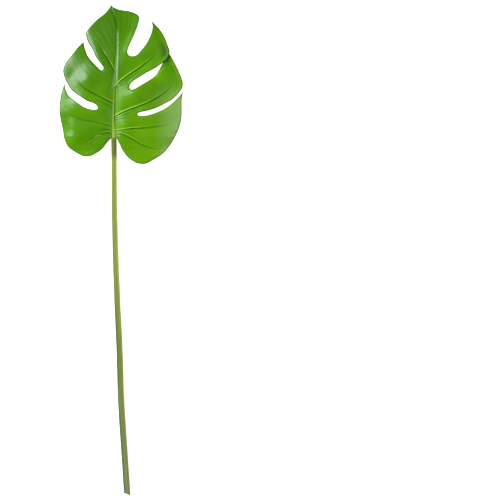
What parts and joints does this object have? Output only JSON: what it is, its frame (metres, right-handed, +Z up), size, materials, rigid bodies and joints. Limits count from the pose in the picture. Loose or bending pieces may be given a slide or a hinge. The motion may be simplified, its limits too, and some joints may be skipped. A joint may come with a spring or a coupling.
{
  "type": "cut monstera leaf",
  "caption": "Split heart-shaped monstera leaf with raised veins on a long bare leaf stalk, cut for a vase and lying face up.",
  "frame": {"origin": "middle of the leaf's box on the surface it lies on", "axes": "+Y along the leaf towards the blade's tip, +Z up out of the blade's upper face, +X to the right of the blade seen face on with its tip away"},
  "size_m": [0.189, 0.7476, 0.0201],
  "materials": {
    "leaf": "satin",
    "stalk": "satin"
  },
  "bodies": {
    "root": {"leaf_blade": "leaf", "leaf_stalk": "stalk"}
  },
  "joints": []
}
